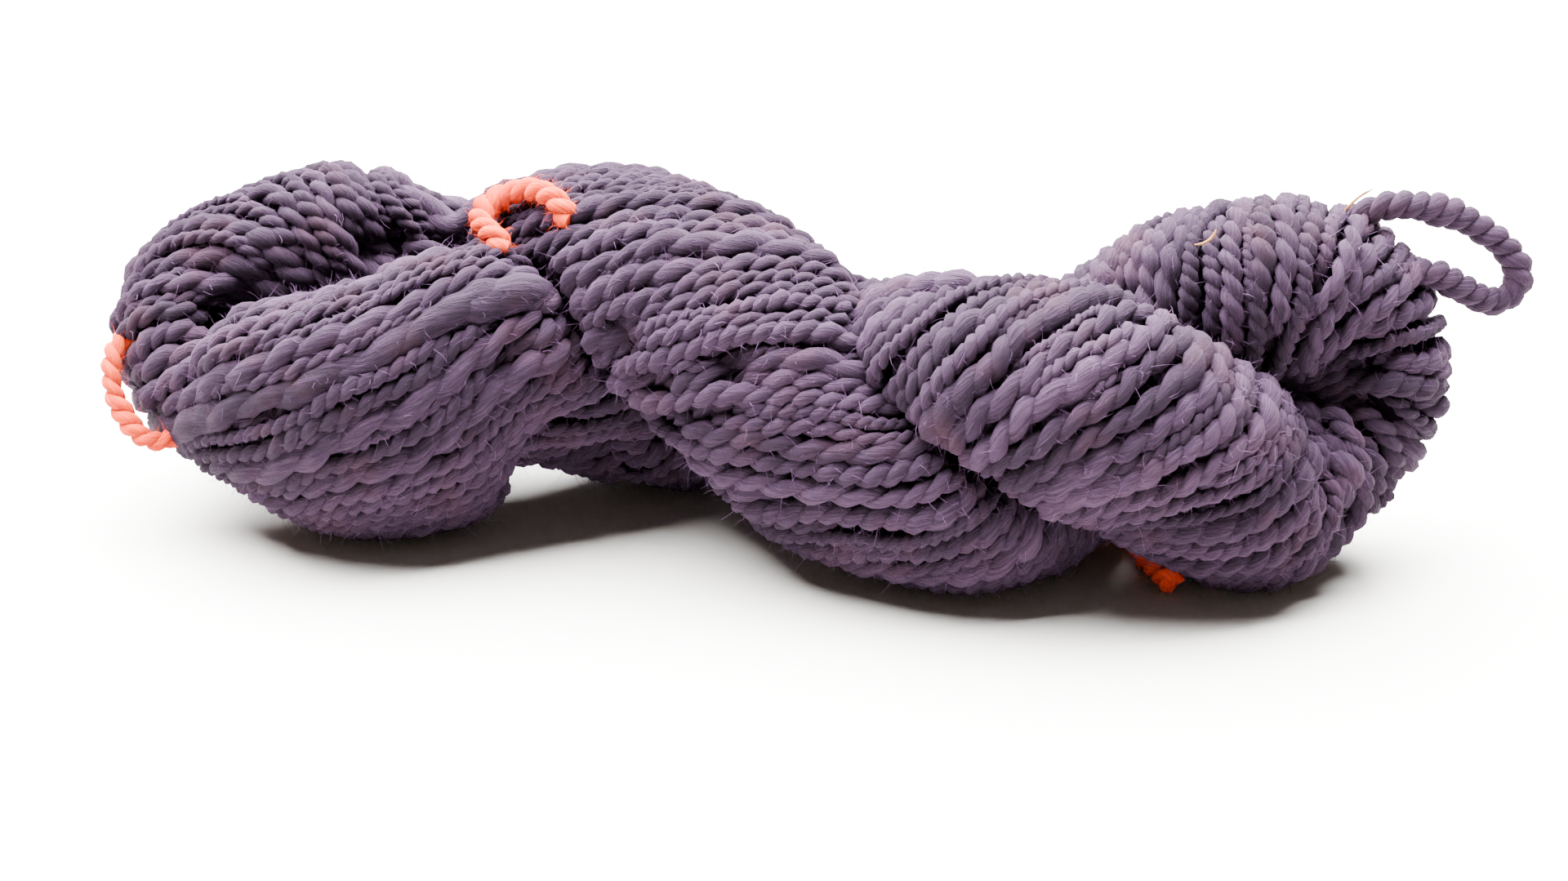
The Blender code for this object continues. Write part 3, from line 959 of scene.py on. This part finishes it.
# %% Turns seen deep in the eye, and the pieces of yarn
EYE_TURNS = 8
for k in range(EYE_TURNS):
    share = k / (EYE_TURNS - 1)
    route = [
        (82, -14 + 3 * share, 31 + 8 * share), (88, -16.5 + 2 * share, 30 + 10 * share),
        (96, -17 + 2 * share, 27.5 + 14 * share), (104, -16 + 3 * share, 25.5 + 19 * share),
        (112, -11 + 3 * share, 24.5 + 24 * share),
    ]
    outer.append(free_strand(route, 2.1 * HALF_SIZE, rng.uniform()))

BORDERS = (-55.0, 30.0)
HANK_HAIRS = 8.2e4  # per square metre
PARTS = {
    "left": [s for s in outer if s.points[:, 0].mean() < BORDERS[0]],
    "middle": [s for s in outer if BORDERS[0] <= s.points[:, 0].mean() < BORDERS[1]],
    "right": [s for s in outer if s.points[:, 0].mean() >= BORDERS[1]],
}

pieces = []
for seed, (part, strands) in enumerate(PARTS.items(), 31):
    piece = grow(plied_yarn, strand_lines("outer_" + part, strands), "hank_yarn_" + part,
                 {**PLIED, "Material": purple_wool})
    # The hank's hairs are in the lighter wool, which is painted light.
    halo = grow(fuzz, piece.data.copy(), "hank_fuzz_" + part,
                {**FUZZY, "Hairs per square metre": HANK_HAIRS, "Seed": seed,
                 "Material": purple_fuzz})
    pieces += [piece, halo]
pieces.append(grow(plied_yarn, strand_lines("inner", inner), "hank_yarn_inner",
                   {**PLIED, "Sides": 4, "Material": purple_wool}))

# %% [markdown]
# ## The dark inside, as painted shade
#
# Between the strands the eye meets deeper turns, then shade. A plain near-black tube below the yarn
# closes most views through: it is painted shade. Five plain near-black balls, painted shade too,
# close the hollows of the two end turns, and three of the narrow slots where the halves cross.

# %% The core
CORE_SHARE = 0.74
# The balls are near-black, painted shade in the hollows and slots.
PLUGS = [  # places and half-sizes
    ((-92, 13.5, 22), (27, 8, 11)), ((95, -4, 33), (12, 9, 10)), ((37, -1, 37), (4, 4, 3)),
    ((-24, 2, 28), (4, 4, 4)), ((-71, 17, 26), (5, 5, 7)),
]


def painted_shade_core_piece():
    """A closed tube below the yarn, and balls that plug the hollows and slots, in near-black wool as
    painted shade.
    """
    bm = bmesh.new()
    places = (centres[:, None] + CORE_SHARE * offsets) * MM
    rings = [[bm.verts.new(place) for place in places[i, ::3]] for i in range(0, RINGS, 3)]
    for before, after in zip(rings[-1:] + rings, rings):
        for j in range(len(after)):
            bm.faces.new((before[j - 1], before[j], after[j], after[j - 1]))
    for vert in bm.verts:
        vert.co.z = max(vert.co.z, 3 * MM)
    bmesh.ops.recalc_face_normals(bm, faces=bm.faces)
    for place, half_sizes in PLUGS:
        ball = bmesh.ops.create_uvsphere(bm, u_segments=20, v_segments=12, radius=MM)["verts"]
        bmesh.ops.scale(bm, vec=half_sizes, verts=ball)
        bmesh.ops.translate(bm, vec=Vector(place) * MM, verts=ball)
    return dressed("hank_core", bm, painted_shade_wool)


pieces.append(painted_shade_core_piece())
print(f"the core and plugs have {len(pieces[-1].data.polygons)} faces")

# %% [markdown]
# ## Two bits of straw
#
# Farm wool carries bits of straw. Each is a thin golden blade: a flat oval swept along a short
# curve, pointed at both ends.

# %% The straws
# For each straw: where it starts, its length, its heading on the level, and how steeply it rises at
# its start and at its end.
STRAWS = {
    "straw_curved": ((69.2, -16.4, 63.3), 5.2, 8, -5, 75),
    "straw_upright": ((97.6, -5, 64.2), 8.0, 0, 66, 26),
}
STRAW_HALF_WIDTH = 0.27
STRAW_FLATNESS = 0.45
STRAW_SIDES = 8


def straw_route(start, length, heading, first_rise, last_rise):
    """The points of an even bend, in millimetres."""
    rises = np.radians(np.linspace(first_rise, last_rise, 9))
    turn = radians(heading)
    ways = np.column_stack([np.cos(rises) * cos(turn), np.cos(rises) * sin(turn), np.sin(rises)])
    return np.array(start) + np.vstack([np.zeros(3), np.cumsum(ways, axis=0)]) * length / len(rises)


def straw_material():
    material = bpy.data.materials.new("straw")
    material.use_nodes = True
    graph = Graph(material.node_tree)
    shader = graph.tree.nodes["Principled BSDF"]
    place = graph.node("ShaderNodeTexCoord", out=3)
    grain = graph.node(
        "ShaderNodeTexNoise", values={"Vector": place, "Scale": 900.0, "Detail": 3.0})
    color = graph.node(
        "ShaderNodeValToRGB", {"stops": [(0.3, (0.17, 0.055, 0.006)), (0.7, (0.40, 0.17, 0.028))]},
        {"Fac": grain})
    relief = graph.node(
        "ShaderNodeBump", values={"Height": grain, "Strength": 0.5, "Distance": 0.2 * MM})
    graph.tree.links.new(color.socket, shader.inputs["Base Color"])
    graph.tree.links.new(relief.socket, shader.inputs["Normal"])
    shader.inputs["Roughness"].default_value = 0.45
    return material


def straw(name, route, material):
    """A flat oval swept along a route, narrow at both ends."""
    points = smooth_rows(route, 0.35)
    forward = unit(np.gradient(points, axis=0))
    side = unit(np.cross(forward, (0.2, 1.0, 0.1)))
    flat = np.cross(side, forward)
    share = np.linspace(0.0, 1.0, len(points))
    width = STRAW_HALF_WIDTH * np.clip(4.0 * np.minimum(share, 1.0 - share), 0.15, 1.0) ** 0.5
    bm = bmesh.new()
    angles = np.linspace(0.0, 2 * pi, STRAW_SIDES, endpoint=False)
    rings = [
        [bm.verts.new((place + wide * (cos(a) * s + STRAW_FLATNESS * sin(a) * f)) * MM) for a in angles]
        for place, wide, s, f in zip(points, width, side, flat)
    ]
    for before, after in zip(rings, rings[1:]):
        for j in range(STRAW_SIDES):
            bm.faces.new((before[j - 1], before[j], after[j], after[j - 1]))
    bm.faces.new(rings[0])
    bm.faces.new(rings[-1])
    bmesh.ops.recalc_face_normals(bm, faces=bm.faces)
    return dressed(name, bm, material)


golden = straw_material()
for name, shape in STRAWS.items():
    piece = straw(name, straw_route(*shape), golden)
    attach(piece, "root")
    print(f"{name}: {shape[1]} mm long")

# %% [markdown]
# ## One body
#
# Nothing on a hank moves by itself, so all its pieces ride on the one body and stand for its solid.

# %% Ride on the hank's body
for piece in pieces:
    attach(piece, "root")
    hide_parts("hank")
print(len(pieces), "pieces stand for the hank")

# %% [markdown]
# ## Light and table
#
# A broad soft light hangs above and a little behind, as in a light tent. A faint warm light comes
# from all round, and the table is pale.

# %% Table, lights and surroundings
LIGHT_PLACE = (-0.12, 0.38, 0.9)
LIGHT_AIM = (0, 0.03, 0)
LIGHT_SIZE = (1.7, 1.2)
LIGHT_POWER = 690
AIR_COLOR = (1.0, 0.84, 0.72, 1.0)
AIR_STRENGTH = 0.22
TABLE_COLOR = (0.56, 0.545, 0.52, 1.0)
TABLE_HALF = 4.0


def area_light(name, place, aim, size, power):
    light = bpy.data.lights.new(name, "AREA")
    light.shape, light.size, light.size_y = "RECTANGLE", size[0], size[1]
    light.energy = power
    obj = placed(name, light)
    obj.location = place
    obj.rotation_euler = (Vector(aim) - Vector(place)).to_track_quat("-Z", "Y").to_euler()


area_light("top_light", LIGHT_PLACE, LIGHT_AIM, LIGHT_SIZE, LIGHT_POWER)
world = bpy.data.worlds.new("studio")
bpy.context.scene.world = world
world.use_nodes = True
world.node_tree.nodes["Background"].inputs["Color"].default_value = AIR_COLOR
world.node_tree.nodes["Background"].inputs["Strength"].default_value = AIR_STRENGTH

table_finish = bpy.data.materials.new("pale_table")
table_finish.use_nodes = True
table_shader = table_finish.node_tree.nodes["Principled BSDF"]
table_shader.inputs["Base Color"].default_value = TABLE_COLOR
table_shader.inputs["Roughness"].default_value = 0.7
bm = bmesh.new()
bmesh.ops.create_grid(bm, x_segments=1, y_segments=1, size=TABLE_HALF)
table = dressed("table", bm, table_finish)
print("one light of", LIGHT_POWER, "W over a table", 2 * TABLE_HALF, "m wide")
